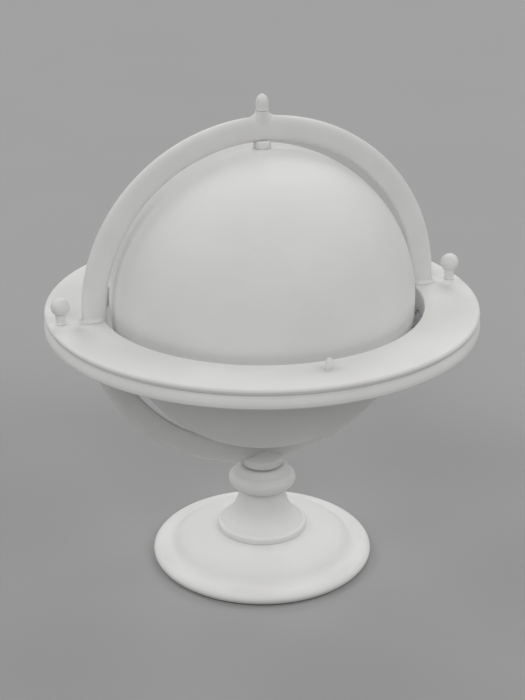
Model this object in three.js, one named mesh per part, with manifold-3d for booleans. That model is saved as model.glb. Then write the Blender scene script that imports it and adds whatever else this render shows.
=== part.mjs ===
// A table globe on a turned pedestal. The ball spins on a vertical axis inside a fixed
// meridian ring, and a broad horizon ring goes round its middle.
// Millimetres, +Z up. The origin is the middle of the underside, on the table top.
// The meridian ring lies in the XZ plane, so its two feet are at -X (left) and +X (right).

import * as THREE from 'three';
import { mergeVertices } from 'three/addons/utils/BufferGeometryUtils.js';
import Module from 'manifold-3d';

const wasm = await Module();
wasm.setup();

// ------------------------------------------------------------------ driving dimensions

const GAP = 0.3; // left between any two pieces that touch

// The ball and the rings share one centre.
const CENTRE_Z = 291.5;
const BALL = { radius: 152.4, wall: 3, bandHeight: 20, bandWall: 2 };
const MERIDIAN = { inner: 159, outer: 183.6, halfThickness: 5.4, edge: 4.4 };
const SPLICE_Z = 246; // the meridian ring is cut here into an arch and a cradle
const BOSS = { halfWidth: 6.6, top: 480.5, fillet: 6 }; // on the arch's crown
const FOOT = { flare: 3, height: 6 }; // where the arch stands on the horizon ring

const HORIZON = { inner: 161.6, outer: 216.9, top: 286.2, plate: 6.8, topEdge: 1.5 };
const MOULDING = { outer: 217.3, neck: 213, bottom: 266.6, bead: 5, lowerEdge: 1.5 };

// A peg stands a little to one side of the front, by a turn in degrees.
const KNOB = { radius: 9.3, neck: 4.7, at: 204, height: 17.8 };
const PEG = { radius: 4.3, neck: 3.6, at: 183, turn: 1.2, height: 12.2 };
const FINIAL = { radius: 6.4, height: 15.8, dome: 8 };

// Heights where the turned pieces of the stand meet, from the table up.
const FELT = { radius: 111.5, top: 2 };
const BASE = { radius: 115.3, rim: 7.3, rimCentreZ: 5.2, top: 32, recess: 62, ceiling: 14.5 };
const COLUMN = { flange: 47, spigot: 20, spigotDepth: 6, neck: 24, top: 79 };
const KNOP = { radius: 35.2, top: 103 };
const HEAD = { radius: 22, neck: 18, lip: 113.6, top: 119.5 };

// Hardware: radii of the plain shanks, and the holes that take them.
const ROD = 2;
const ROD_HOLE = ROD + GAP;
const CLAMP_SHANK = 2.5;
const CLAMP_HOLE = CLAMP_SHANK + GAP;
const PEG_SHANK = 1.5;
const PEG_HOLE_DEPTH = 5.4;
const TIE_TOP = 120; // the tie rod is screwed into the cradle up to here
const SCREW_HEIGHTS = { upper: 255, lower: 237 };
const BRACKET = { thickness: 3, ear: 2.7, outerEnd: 211, halfWidth: 12, bottom: 228 };
const BUSH = { radius: 5, flange: 7, flangeThickness: 1.2, innerEnd: 133 };
const COLLAR = { radius: 8.6, recess: 7.4, top: 158 }; // between the ball and the crown
const THRUST = { radius: 6, washer: 1.2, bottom: 158.4 }; // under the ball, below its centre
const PIVOT_FOOT = TIE_TOP + 4; // the lower pivot stands in the cradle, down to here
const POLE_BLOCK = { radius: 30, innerFace: 128 };
const SPINE = { radius: 9, halfLength: 132 };
const FACET_SAG = 1.3; // how far the shell's flat inner facets dip inside their sphere

// How many flat sides stand for a full turn.
const SIDES = { ring: 48, horizon: 56, ball: 36, base: 40, stem: 24, knob: 14, small: 10 };

const FINISHES = {
  paintedWood: { color: 0xdcdcd9, roughness: 0.62, metalness: 0 },
  paintedMetal: { color: 0xd6d6d4, roughness: 0.5, metalness: 0 },
  globeSkin: { color: 0xdedddb, roughness: 0.55, metalness: 0 },
  bareWood: { color: 0xb08a5c, roughness: 0.8, metalness: 0 },
  felt: { color: 0x6e7069, roughness: 0.95, metalness: 0 },
  brass: { color: 0xc7a555, roughness: 0.35, metalness: 1 },
  steel: { color: 0xa9acb0, roughness: 0.35, metalness: 1 },
  iron: { color: 0x55565a, roughness: 0.7, metalness: 0.6 },
};

// ------------------------------------------------------------------ outlines

const degrees = THREE.MathUtils.radToDeg;

// Points along an arc, both ends included, with angles in degrees.
function arc(cx, cy, radius, from, to, steps) {
  const points = [];
  for (let i = 0; i <= steps; i += 1) {
    const angle = THREE.MathUtils.degToRad(from + ((to - from) * i) / steps);
    points.push([cx + radius * Math.cos(angle), cy + radius * Math.sin(angle)]);
  }
  return points;
}

// A smooth curve through a few points, both ends included.
function smooth(through, steps) {
  const curve = new THREE.SplineCurve(through.map(([x, y]) => new THREE.Vector2(x, y)));
  return curve.getPoints(steps).map((point) => [point.x, point.y]);
}

// The same outline seen upside down, still running anticlockwise.
function upsideDown(outline) {
  return outline.map(([radius, height]) => [radius, -height]).reverse();
}

// ------------------------------------------------------------------ solids

// Turns an anticlockwise outline of [radius, height] points about the Z axis.
function turned(outline, sides) {
  const onAxis = outline[0][0] === 0;
  const closed = onAxis ? outline : [...outline, outline[0]];
  const points = closed.map(([radius, height]) => new THREE.Vector2(radius, height));
  return new THREE.LatheGeometry(points, sides).rotateX(Math.PI / 2);
}

// A slab with an outline of [x, z] points, its thickness centred on y = 0.
function slab(outline, thickness) {
  const shape = new THREE.Shape(outline.map(([x, z]) => new THREE.Vector2(x, z)));
  const flat = new THREE.ExtrudeGeometry(shape, { depth: thickness, bevelEnabled: false });
  return flat.translate(0, 0, -thickness / 2).rotateX(Math.PI / 2);
}

// A box from its lowest to its highest corner.
function box([x0, y0, z0], [x1, y1, z1]) {
  const shape = new THREE.BoxGeometry(x1 - x0, y1 - y0, z1 - z0);
  return shape.translate((x0 + x1) / 2, (y0 + y1) / 2, (z0 + z1) / 2);
}

// An upright cylinder at x, y, between two heights.
function post(x, y, z0, z1, radius, sides = SIDES.small) {
  const shape = new THREE.CylinderGeometry(radius, radius, z1 - z0, sides);
  return shape.rotateX(Math.PI / 2).translate(x, y, (z0 + z1) / 2);
}

// A closed geometry as a solid that can be joined and cut.
function solid(geometry) {
  const bare = geometry.clone();
  bare.deleteAttribute('normal');
  bare.deleteAttribute('uv');
  const welded = mergeVertices(bare, 1e-4);
  const vertProperties = welded.attributes.position.array;
  const triVerts = new Uint32Array(welded.index.array);
  return new wasm.Manifold(new wasm.Mesh({ numProp: 3, vertProperties, triVerts }));
}

function joined(first, ...others) {
  return others.reduce((whole, geometry) => whole.add(solid(geometry)), solid(first));
}

function cut(whole, ...tools) {
  return tools.reduce((rest, geometry) => rest.subtract(solid(geometry)), whole);
}

function geometryOf(manifold) {
  const { vertProperties, triVerts } = manifold.getMesh();
  const geometry = new THREE.BufferGeometry();
  geometry.setAttribute('position', new THREE.BufferAttribute(vertProperties, 3));
  geometry.setIndex(new THREE.BufferAttribute(triVerts, 1));
  geometry.computeVertexNormals();
  return geometry;
}

// ------------------------------------------------------------------ the assembly

const globe = new THREE.Group();

// Adds one piece. A shape is a geometry, or a solid that was joined or cut.
function add(name, shape, finish, group = globe) {
  const geometry = shape.isBufferGeometry ? shape : geometryOf(shape);
  const mesh = new THREE.Mesh(geometry, new THREE.MeshStandardMaterial(FINISHES[finish]));
  mesh.name = name;
  group.add(mesh);
  return mesh;
}

// The name's ending and the direction along X of each side.
const SIDE_NAMES = [['left', -1], ['right', 1]];

// ------------------------------------------------------------------ pedestal

function addFeltPad() {
  add('felt_pad', post(0, 0, 0, FELT.top, FELT.radius, SIDES.base), 'felt');
}

// A low turned dome with a fat round rim, hollowed underneath for the ballast.
function addBase() {
  const underside = FELT.top + GAP;
  const crest = BASE.rimCentreZ + BASE.rim;
  const rimRadius = BASE.radius - BASE.rim;
  const rimFoot = degrees(Math.asin((BASE.rimCentreZ - underside) / BASE.rim));
  const outline = [
    [ROD_HOLE, BASE.ceiling],
    [BASE.recess, BASE.ceiling],
    [BASE.recess, underside],
    ...arc(rimRadius, BASE.rimCentreZ, BASE.rim, -rimFoot, 90, 5),
    ...smooth([[98, crest], [88.5, 20], [74, 27], [COLUMN.flange + 1.5, 31.5]], 6),
    [COLUMN.flange, BASE.top],
    [COLUMN.spigot + GAP, BASE.top],
    [COLUMN.spigot + GAP, BASE.top - COLUMN.spigotDepth],
    [ROD_HOLE, BASE.top - COLUMN.spigotDepth],
  ];
  add('base', turned(outline, SIDES.base), 'paintedWood');
}

function addBallast() {
  const hole = 16;
  const bottom = 3.5;
  const top = BASE.ceiling - GAP;
  const outer = BASE.recess - GAP;
  const outline = [[hole, bottom], [outer, bottom], [outer, top], [hole, top]];
  add('ballast_disc', turned(outline, SIDES.stem), 'iron');
}

// A trumpet-shaped stem on a round flange, with a spigot that plugs into the base.
function addColumn() {
  const foot = BASE.top + GAP;
  const { flange, spigot, spigotDepth, neck, top } = COLUMN;
  const outline = [
    [ROD_HOLE, foot - spigotDepth],
    [spigot, foot - spigotDepth],
    [spigot, foot],
    [flange, foot],
    ...arc(flange - 2.6, foot + 4.1, 2.6, 0, 90, 2),
    ...smooth([[40.4, 42.3], [32, 50.5], [26.4, 64], [neck, top]], 6),
    [ROD_HOLE, top],
  ];
  add('column', turned(outline, SIDES.stem), 'paintedWood');
}

// The fat turned collar under the ring, with a sharp lower lip and a sloping shoulder.
function addKnop() {
  const bottom = COLUMN.top + GAP;
  const outline = [
    [ROD_HOLE, bottom],
    [27, bottom],
    [30.8, bottom + 1.7],
    ...smooth([[33.6, 84], [KNOP.radius, 88], [34.2, 91.4]], 3),
    ...smooth([[29.8, 95.6], [27.4, 99.6], [22.5, KNOP.top]], 3),
    [ROD_HOLE, KNOP.top],
  ];
  add('knop', turned(outline, SIDES.stem), 'paintedWood');
}

// The round block that carries the ring. Its top slopes up to the ring on both sides,
// and a slot across it takes the ring.
function addHead() {
  const bottom = KNOP.top + GAP;
  const slotHalf = MERIDIAN.halfThickness + GAP;
  const slotFloor = CENTRE_Z - MERIDIAN.outer - GAP;
  const { radius, neck, lip, top } = HEAD;
  const edge = 2.4;
  const outline = [
    [ROD_HOLE, bottom],
    [neck, bottom],
    [radius - 0.6, bottom + 1.8],
    ...arc(radius - edge, lip - edge, edge, 0, 70, 3),
    ...smooth([[15, lip + 0.9], [10.5, lip + 2.9], [slotHalf + 2, top]], 3),
    [ROD_HOLE, top],
  ];
  const reach = radius + 1;
  const slot = box([-reach, -slotHalf, slotFloor], [reach, slotHalf, top + 1]);
  add('head', cut(solid(turned(outline, SIDES.stem)), slot), 'paintedWood');
}

// One long rod pulls base, column, knop and head together, up into the cradle.
function addTieRod() {
  const rodBottom = 6.5;
  const nut = { radius: 5.2, bottom: 8.3, top: 12.3 };
  const washer = { radius: 9, bottom: nut.top + GAP, top: BASE.ceiling - GAP };
  add('tie_rod', post(0, 0, rodBottom, TIE_TOP, ROD), 'steel');
  add('tie_nut', hexNut(0, 0, nut.bottom, nut.top, nut.radius, ROD_HOLE), 'steel');
  const outline = [
    [ROD_HOLE, washer.bottom],
    [washer.radius, washer.bottom],
    [washer.radius, washer.top],
    [ROD_HOLE, washer.top],
  ];
  add('tie_washer', turned(outline, SIDES.knob), 'steel');
}

// A six-sided nut on an upright axis.
function hexNut(x, y, z0, z1, radius, hole) {
  return cut(solid(post(x, y, z0, z1, radius, 6)), post(x, y, z0 - 1, z1 + 1, hole));
}

// ------------------------------------------------------------------ meridian ring

// A full ring about the Y axis, from an anticlockwise outline of [radius, y] points.
function uprightRing(outline) {
  return turned(outline, SIDES.ring).rotateX(Math.PI / 2).translate(0, 0, CENTRE_Z);
}

function meridianRing() {
  const { inner, outer, halfThickness: half, edge } = MERIDIAN;
  return uprightRing([
    ...arc(inner + edge, edge - half, edge, 180, 270, 2),
    ...arc(outer - edge, edge - half, edge, 270, 360, 2),
    ...arc(outer - edge, half - edge, edge, 0, 90, 2),
    ...arc(inner + edge, half - edge, edge, 90, 180, 2),
  ]);
}

// Where a bracket's cross screw goes through the middle of the ring's width.
function screwX(height) {
  const middle = (MERIDIAN.inner + MERIDIAN.outer) / 2;
  return Math.sqrt(middle ** 2 - (CENTRE_Z - height) ** 2);
}

// A hole along Y through the ring and the bracket's ears.
function crossHole(side, height) {
  const shape = new THREE.CylinderGeometry(ROD_HOLE, ROD_HOLE, 40, SIDES.small);
  return shape.translate(side * screwX(height), 0, height);
}

// The raised block on the crown that stiffens the ring where the pivot goes through.
function crownBoss() {
  const { halfWidth, top, fillet } = BOSS;
  const ringTop = CENTRE_Z + MERIDIAN.outer;
  const outline = [
    [-halfWidth - fillet, ringTop - 3],
    [halfWidth + fillet, ringTop - 3],
    ...arc(halfWidth + fillet, top, fillet, 270, 180, 4),
    ...arc(-halfWidth - fillet, top, fillet, 0, -90, 4),
  ];
  return slab(outline, 2 * MERIDIAN.halfThickness);
}

// A small flare on both faces of the arch where it stands on the horizon ring.
function archFoot(side) {
  const half = MERIDIAN.halfThickness;
  const floor = HORIZON.top + GAP;
  const { flare, height } = FOOT;
  const outline = [
    ...arc(half + flare, floor + flare, flare, 270, 180, 3),
    [half, floor + height],
    [-half, floor + height],
    ...arc(-half - flare, floor + flare, flare, 0, -90, 3),
  ];
  const innerX = HORIZON.inner + 1;
  const outerX = MERIDIAN.outer;
  const middle = (side * (innerX + outerX)) / 2;
  return slab(outline, outerX - innerX).rotateZ(Math.PI / 2).translate(middle, 0, 0);
}

// The part of the meridian ring above the splice, with its crown boss and its feet.
function addArch() {
  const reach = MERIDIAN.outer + 1;
  const below = box([-reach, -10, 0], [reach, 10, SPLICE_Z]);
  const pivotHole = post(0, 0, CENTRE_Z + MERIDIAN.inner - 5, BOSS.top + 1, ROD_HOLE);
  const whole = joined(meridianRing(), crownBoss(), archFoot(-1), archFoot(1));
  const holes = [-1, 1].map((side) => crossHole(side, SCREW_HEIGHTS.upper));
  add('arch', cut(whole, below, pivotHole, ...holes), 'paintedMetal');
}

// The part of the ring below the splice. It hangs the ball and carries the horizon ring.
function addCradle() {
  const reach = MERIDIAN.outer + 1;
  const top = CENTRE_Z + MERIDIAN.outer + 1;
  const above = box([-reach, -10, SPLICE_Z - 2 * GAP], [reach, 10, top]);
  const tieHole = post(0, 0, CENTRE_Z - MERIDIAN.outer - 1, TIE_TOP + GAP, ROD_HOLE);
  const pivotHole = post(0, 0, PIVOT_FOOT, CENTRE_Z - MERIDIAN.inner + 5, ROD_HOLE);
  const holes = [-1, 1].map((side) => crossHole(side, SCREW_HEIGHTS.lower));
  add('cradle', cut(solid(meridianRing()), above, tieHole, pivotHole, ...holes), 'paintedMetal');
}

// ------------------------------------------------------------------ horizon ring

// The slot in the horizon ring that the meridian ring passes through.
function meridianNotch(side) {
  const innerX = HORIZON.inner - 5;
  const outerX = MERIDIAN.outer + GAP;
  const half = MERIDIAN.halfThickness + GAP;
  const low = [Math.min(side * innerX, side * outerX), -half, MOULDING.bottom - 1];
  const high = [Math.max(side * innerX, side * outerX), half, HORIZON.top + 1];
  return box(low, high);
}

// What both layers of the horizon ring have cut out at each side.
function sideCuts(side) {
  const hole = post(side * KNOB.at, 0, MOULDING.bottom - 1, HORIZON.top + 1, CLAMP_HOLE);
  return [meridianNotch(side), hole];
}

// The flat upper ring, with a full round outer edge and a softened inner one.
function addHorizonPlate() {
  const { inner, outer, top, plate, topEdge } = HORIZON;
  const round = plate / 2;
  const outline = [
    [inner, top - plate],
    ...arc(outer - round, top - round, round, -90, 90, 5),
    ...arc(inner + topEdge, top - topEdge, topEdge, 90, 180, 2),
  ];
  const pegHoles = [-1, 1].map((side) => (
    post(...pegPlace(side), top - PEG_HOLE_DEPTH, top + 1, PEG_SHANK + GAP)
  ));
  const ring = solid(turned(outline, SIDES.horizon));
  add('horizon_plate', cut(ring, ...sideCuts(-1), ...sideCuts(1), ...pegHoles), 'paintedWood');
}

// The thicker lower ring: a cove under the plate, then a bead that stands out past it.
function addHorizonMoulding() {
  const top = HORIZON.top - HORIZON.plate - GAP;
  const { outer, neck, bottom, bead, lowerEdge } = MOULDING;
  const outline = [
    [HORIZON.inner, bottom],
    ...arc(outer - lowerEdge, bottom + lowerEdge, lowerEdge, -90, 0, 2),
    ...arc(outer - bead, top - bead, bead, 0, 60, 3),
    [neck, top],
    [HORIZON.inner, top],
  ];
  const ring = solid(turned(outline, SIDES.horizon));
  add('horizon_moulding', cut(ring, ...sideCuts(-1), ...sideCuts(1)), 'paintedWood');
}

// ------------------------------------------------------------------ brackets and clamps

// An angle bracket: a forked plate under the horizon ring, with two ears that straddle
// the meridian ring and hold its two halves in line.
function addBracket(sideName, side) {
  const { thickness, ear, outerEnd, halfWidth, bottom } = BRACKET;
  const top = MOULDING.bottom - GAP;
  const earInner = MERIDIAN.halfThickness + GAP;
  const innerX = MERIDIAN.inner + 2.6;
  const forkX = MERIDIAN.outer + GAP;
  const spanX = (x0, x1) => [Math.min(side * x0, side * x1), Math.max(side * x0, side * x1)];
  const [plateLow, plateHigh] = spanX(innerX, outerEnd);
  const [forkLow, forkHigh] = spanX(innerX - 1, forkX);
  const plate = box([plateLow, -halfWidth, top - thickness], [plateHigh, halfWidth, top]);
  const fork = box([forkLow, -earInner, top - thickness - 1], [forkHigh, earInner, top + 1]);
  const earRing = (y0, y1) => uprightRing([
    [MERIDIAN.inner + 3, y0],
    [MERIDIAN.outer - 3, y0],
    [MERIDIAN.outer - 3, y1],
    [MERIDIAN.inner + 3, y1],
  ]);
  const ears = joined(earRing(earInner, earInner + ear), earRing(-earInner - ear, -earInner));
  const [earLow, earHigh] = spanX(MERIDIAN.inner / 2, MERIDIAN.outer);
  const earSpace = box([earLow, -halfWidth, bottom], [earHigh, halfWidth, top - 0.5]);
  const whole = ears.intersect(solid(earSpace)).add(cut(solid(plate), fork));
  const holes = Object.values(SCREW_HEIGHTS).map((height) => crossHole(side, height));
  const clampHole = post(side * KNOB.at, 0, bottom, top + 1, CLAMP_HOLE);
  add(`bracket_${sideName}`, cut(whole, ...holes, clampHole), 'steel');
}

// A domed screw along +Y with its nut, through one bracket and the ring between its ears.
function addCrossScrew(sideName, side, level, height) {
  const head = { radius: 3.6, face: 2.4, rise: 1.9, depth: 2.4 };
  const nut = { radius: 3.9, thickness: 3 };
  const earFace = MERIDIAN.halfThickness + GAP + BRACKET.ear;
  const headBase = -earFace - GAP;
  const nutBase = earFace + GAP;
  const tip = nutBase + nut.thickness + 1.5;
  const outline = [
    [0, headBase - head.depth],
    [head.face, headBase - head.rise],
    [head.radius, headBase],
    [ROD, headBase],
    [ROD, tip],
    [0, tip],
  ];
  const place = new THREE.Group();
  place.position.set(side * screwX(height), 0, height);
  place.rotation.x = -Math.PI / 2;
  globe.add(place);
  add(`screw_${sideName}_${level}`, turned(outline, SIDES.small), 'steel', place);
  const nutShape = hexNut(0, 0, nutBase, nutBase + nut.thickness, nut.radius, ROD_HOLE);
  add(`nut_${sideName}_${level}`, nutShape, 'steel', place);
}

// A ball-headed screw that clamps the horizon ring down on its bracket, and its nut.
function addClampKnob(sideName, side) {
  const { radius, neck, at, height } = KNOB;
  const nut = { radius: 5, thickness: 3.4 };
  const seat = HORIZON.top + GAP;
  const ballZ = HORIZON.top + height;
  const nutTop = MOULDING.bottom - BRACKET.thickness - 2 * GAP;
  const nutBottom = nutTop - nut.thickness;
  const tip = nutBottom - 2;
  const neckTop = ballZ - sphereHeight(radius, neck);
  const neckAngle = degrees(Math.acos(neck / radius));
  const outline = [
    [0, tip],
    [CLAMP_SHANK, tip],
    [CLAMP_SHANK, seat],
    [neck + 0.8, seat],
    [neck, seat + 2],
    [neck, neckTop],
    ...arc(0, ballZ, radius, -neckAngle, 90, 7).slice(1, -1),
    [0, ballZ + radius],
  ];
  const knob = add(`clamp_knob_${sideName}`, turned(outline, SIDES.knob), 'paintedMetal');
  knob.position.x = side * at;
  const nutShape = hexNut(side * at, 0, nutBottom, nutTop, nut.radius, CLAMP_HOLE);
  add(`clamp_nut_${sideName}`, nutShape, 'steel');
}

// Where a peg stands: side -1 is the front, side 1 the back.
function pegPlace(side) {
  const turn = THREE.MathUtils.degToRad(PEG.turn);
  return [-side * PEG.at * Math.sin(turn), side * PEG.at * Math.cos(turn)];
}

// A small pointed peg that stands on the horizon ring, about a quarter turn from the knobs.
function addPeg(name, side) {
  const { radius, neck, height } = PEG;
  const seat = HORIZON.top + GAP;
  const shankBottom = HORIZON.top - PEG_HOLE_DEPTH + GAP;
  const outline = [
    [0, shankBottom],
    [PEG_SHANK, shankBottom],
    [PEG_SHANK, seat],
    [neck, seat],
    [radius, seat + 3.2],
    [radius - 0.5, seat + 6.2],
    [radius - 2.4, seat + 9.6],
    [0, HORIZON.top + height],
  ];
  const [x, y] = pegPlace(side);
  add(name, turned(outline, SIDES.small), 'paintedMetal').position.set(x, y, 0);
}

// ------------------------------------------------------------------ pivots

// The upper pivot pin goes up through the arch's crown and into the finial. A skirted
// collar on it covers the ball's bush and keeps the crown off the ball.
function addTopPivot() {
  const pinBottom = CENTRE_Z + BUSH.innerEnd + 1;
  const seat = BOSS.top + GAP;
  const pinTop = seat + 9;
  const { radius, height, dome } = FINIAL;
  add('top_pivot', post(0, 0, pinBottom, pinTop, ROD), 'steel');

  const overBush = BALL.radius + BUSH.flangeThickness + 2 * GAP;
  const skirt = sphereHeight(BALL.radius, COLLAR.radius) + GAP;
  const collar = [
    [ROD_HOLE, overBush],
    [COLLAR.recess, overBush],
    [COLLAR.recess, skirt],
    [COLLAR.radius, skirt],
    [COLLAR.radius, COLLAR.top - 2.4],
    [COLLAR.recess, COLLAR.top],
    [ROD_HOLE, COLLAR.top],
  ];
  const turnedCollar = turned(collar, SIDES.knob).translate(0, 0, CENTRE_Z);
  add('top_collar', turnedCollar, 'paintedMetal');

  const top = seat + height;
  const finial = [
    [ROD_HOLE, seat],
    [radius, seat],
    [radius - 0.3, seat + 3],
    ...smooth([[radius, top - dome], [radius - 1, top - 3.4], [2.6, top - 0.8]], 4),
    [0, top],
    [0, pinTop + GAP],
    [ROD_HOLE, pinTop + GAP],
  ];
  add('finial', turnedWithBlindHole(finial, SIDES.knob), 'paintedMetal');
}

// An outline that closes on itself and touches the axis along one stretch.
function turnedWithBlindHole(outline, sides) {
  const start = outline.findLastIndex(([radius]) => radius === 0);
  return turned([...outline.slice(start), ...outline.slice(0, start)], sides);
}

// The lower pivot pin stands in the cradle. Its collar carries the ball on a washer.
function addBottomPivot() {
  const pinFoot = PIVOT_FOOT + GAP - CENTRE_Z;
  const washerTop = -(BALL.radius + BUSH.flangeThickness + 2 * GAP);
  const washerFoot = washerTop - THRUST.washer;
  const collarTop = washerFoot - GAP;
  const pivot = [
    [0, pinFoot],
    [ROD, pinFoot],
    [ROD, -THRUST.bottom],
    [THRUST.radius, -THRUST.bottom],
    [THRUST.radius, collarTop],
    [ROD, collarTop],
    [ROD, -BUSH.innerEnd - 1],
    [0, -BUSH.innerEnd - 1],
  ];
  add('bottom_pivot', turned(pivot, SIDES.knob).translate(0, 0, CENTRE_Z), 'steel');

  const washer = [
    [ROD_HOLE, washerFoot],
    [THRUST.radius, washerFoot],
    [THRUST.radius, washerTop],
    [ROD_HOLE, washerTop],
  ];
  add('thrust_washer', turned(washer, SIDES.knob).translate(0, 0, CENTRE_Z), 'brass');
}

// ------------------------------------------------------------------ ball

// Height above the centre of a sphere's surface at a given radius from the axis.
function sphereHeight(sphere, radius) {
  return Math.sqrt(sphere ** 2 - radius ** 2);
}

// Half of the hollow ball, from just off the equator to the hole at the pole.
function shellOutline() {
  const outer = BALL.radius;
  const inner = outer - BALL.wall;
  const hole = BUSH.radius + GAP;
  const outerSteps = 8;
  const innerSteps = 6;
  const foot = (radius) => degrees(GAP / 2 / radius);
  const crown = (radius) => degrees(Math.acos(hole / radius));
  return [
    ...arc(0, 0, outer, foot(outer), crown(outer), outerSteps),
    ...arc(0, 0, inner, crown(inner), foot(inner), innerSteps),
  ];
}

// A wooden block glued inside the shell at the pole. It takes the spine and the bush.
function poleBlockOutline() {
  const sphere = BALL.radius - BALL.wall - FACET_SAG - GAP;
  const { radius, innerFace } = POLE_BLOCK;
  const socket = SPINE.radius + GAP;
  const hole = BUSH.radius + GAP;
  return [
    [socket, innerFace],
    [radius, innerFace],
    [radius, sphereHeight(sphere, radius)],
    [hole, sphereHeight(sphere, hole)],
    [hole, SPINE.halfLength + GAP],
    [socket, SPINE.halfLength + GAP],
  ];
}

// A flanged bush, pressed into the block from outside.
function bushOutline() {
  const flangeFoot = BALL.radius + GAP;
  const flangeFace = flangeFoot + BUSH.flangeThickness;
  return [
    [ROD_HOLE, BUSH.innerEnd],
    [BUSH.radius, BUSH.innerEnd],
    [BUSH.radius, flangeFoot],
    [BUSH.flange, flangeFoot],
    [BUSH.flange, flangeFace],
    [ROD_HOLE, flangeFace],
  ];
}

function addBall() {
  const ball = new THREE.Group();
  ball.position.z = CENTRE_Z;
  globe.add(ball);

  const poles = [['north', (outline) => outline], ['south', upsideDown]];
  for (const [pole, facing] of poles) {
    add(`${pole}_shell`, turned(facing(shellOutline()), SIDES.ball), 'globeSkin', ball);
    add(`${pole}_block`, turned(facing(poleBlockOutline()), SIDES.ball), 'bareWood', ball);
    add(`${pole}_bush`, turned(facing(bushOutline()), SIDES.knob), 'brass', ball);
  }

  const outer = BALL.radius - BALL.wall - FACET_SAG - GAP;
  const inner = outer - BALL.bandWall;
  const half = BALL.bandHeight / 2;
  const band = [[inner, -half], [outer, -half], [outer, half], [inner, half]];
  add('equator_band', turned(band, SIDES.ball), 'bareWood', ball);
  const spineEnds = [-SPINE.halfLength, SPINE.halfLength];
  add('spine', post(0, 0, ...spineEnds, SPINE.radius, SIDES.ball), 'bareWood', ball);
}

// ------------------------------------------------------------------ build

addFeltPad();
addBallast();
addBase();
addTieRod();
addColumn();
addKnop();
addHead();
addCradle();
addArch();
addHorizonMoulding();
addHorizonPlate();
for (const [sideName, side] of SIDE_NAMES) {
  addBracket(sideName, side);
  for (const [level, height] of Object.entries(SCREW_HEIGHTS)) {
    addCrossScrew(sideName, side, level, height);
  }
  addClampKnob(sideName, side);
}
addPeg('marker_peg_front', -1);
addPeg('marker_peg_back', 1);
addTopPivot();
addBottomPivot();
addBall();

export default globe;
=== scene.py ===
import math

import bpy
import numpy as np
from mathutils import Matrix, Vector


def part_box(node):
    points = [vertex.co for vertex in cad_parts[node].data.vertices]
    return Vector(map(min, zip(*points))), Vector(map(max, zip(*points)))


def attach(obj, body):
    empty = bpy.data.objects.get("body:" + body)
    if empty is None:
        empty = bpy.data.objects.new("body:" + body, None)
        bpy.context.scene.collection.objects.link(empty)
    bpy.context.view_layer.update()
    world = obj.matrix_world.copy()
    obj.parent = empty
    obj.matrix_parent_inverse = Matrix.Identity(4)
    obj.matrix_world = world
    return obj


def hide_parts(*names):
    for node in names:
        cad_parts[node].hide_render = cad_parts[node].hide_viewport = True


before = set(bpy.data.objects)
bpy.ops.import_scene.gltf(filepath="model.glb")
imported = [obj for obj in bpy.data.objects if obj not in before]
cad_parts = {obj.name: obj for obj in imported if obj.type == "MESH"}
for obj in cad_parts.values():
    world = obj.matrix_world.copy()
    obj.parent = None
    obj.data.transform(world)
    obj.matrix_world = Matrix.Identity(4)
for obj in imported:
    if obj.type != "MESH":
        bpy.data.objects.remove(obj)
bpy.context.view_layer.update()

# A table globe, finished all over in matt off-white: a plain ball on a vertical axis inside a
# fixed meridian ring, a broad horizon ring round its middle, and a turned pedestal.
# Shapes are worked out in millimetres, in the frame's own axes, and stored in metres.
# The meridian ring lies in the XZ plane, with its feet at -X (left) and +X (right).

MM = 0.001
GAP = 0.3  # left between pieces that touch, as in the frame


# ------------------------------------------------------------------ places, read from the frame

def corners(node):
    """The lowest and highest corners of a CAD node, in millimetres."""
    low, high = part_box(node)
    return low / MM, high / MM


def bottom_of(node):
    return corners(node)[0].z


def top_of(node):
    return corners(node)[1].z


def reach_of(node):
    """How far a piece centred on the Z axis reaches along X."""
    return corners(node)[1].x


def middle_of(node):
    low, high = corners(node)
    return (low + high) / 2


BALL_RADIUS = reach_of("north_shell")
CENTRE_Z = top_of("south_shell") + GAP / 2
RING_OUTER = CENTRE_Z - bottom_of("cradle")
RING_INNER = 159.0
RING_HALF = corners("cradle")[1].y
RING_MIDDLE = (RING_INNER + RING_OUTER) / 2
RING_HALF_WIDTH = (RING_OUTER - RING_INNER) / 2
RING_FULLNESS = 2.7  # of the oval section: 2 is an ellipse, more is squarer
SPLICE_TOP = bottom_of("arch")
SPLICE_BOTTOM = top_of("cradle")
BOSS_TOP = top_of("arch")
BOSS_HALF = 6.6
HORIZON_TOP = top_of("horizon_plate")
HORIZON_INNER = 161.6
PLATE_BOTTOM = bottom_of("horizon_plate")
PLATE_OUTER = reach_of("horizon_plate")
MOULDING_TOP = top_of("horizon_moulding")
MOULDING_BOTTOM = bottom_of("horizon_moulding")
MOULDING_OUTER = reach_of("horizon_moulding")
KNOB_AT = middle_of("clamp_knob_right").x
KNOB_RADIUS = (corners("clamp_knob_right")[1].y - corners("clamp_knob_right")[0].y) / 2
ROD = 2.0
ROD_HOLE = ROD + GAP
CLAMP_SHANK = 2.5
CLAMP_HOLE = CLAMP_SHANK + GAP
PEG_SHANK = 1.5
EAR = 2.7  # thickness of a bracket's ears
SCREW_HEIGHTS = {level: middle_of(f"screw_left_{level}").z for level in ("upper", "lower")}
SIDES = {"left": -1, "right": 1}


# ------------------------------------------------------------------ outlines

def arc(cx, cy, radius, start, end, steps=8):
    """Points along an arc, both ends included, with angles in degrees."""
    angles = np.radians(np.linspace(start, end, steps + 1))
    return [(cx + radius * math.cos(a), cy + radius * math.sin(a)) for a in angles]


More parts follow.
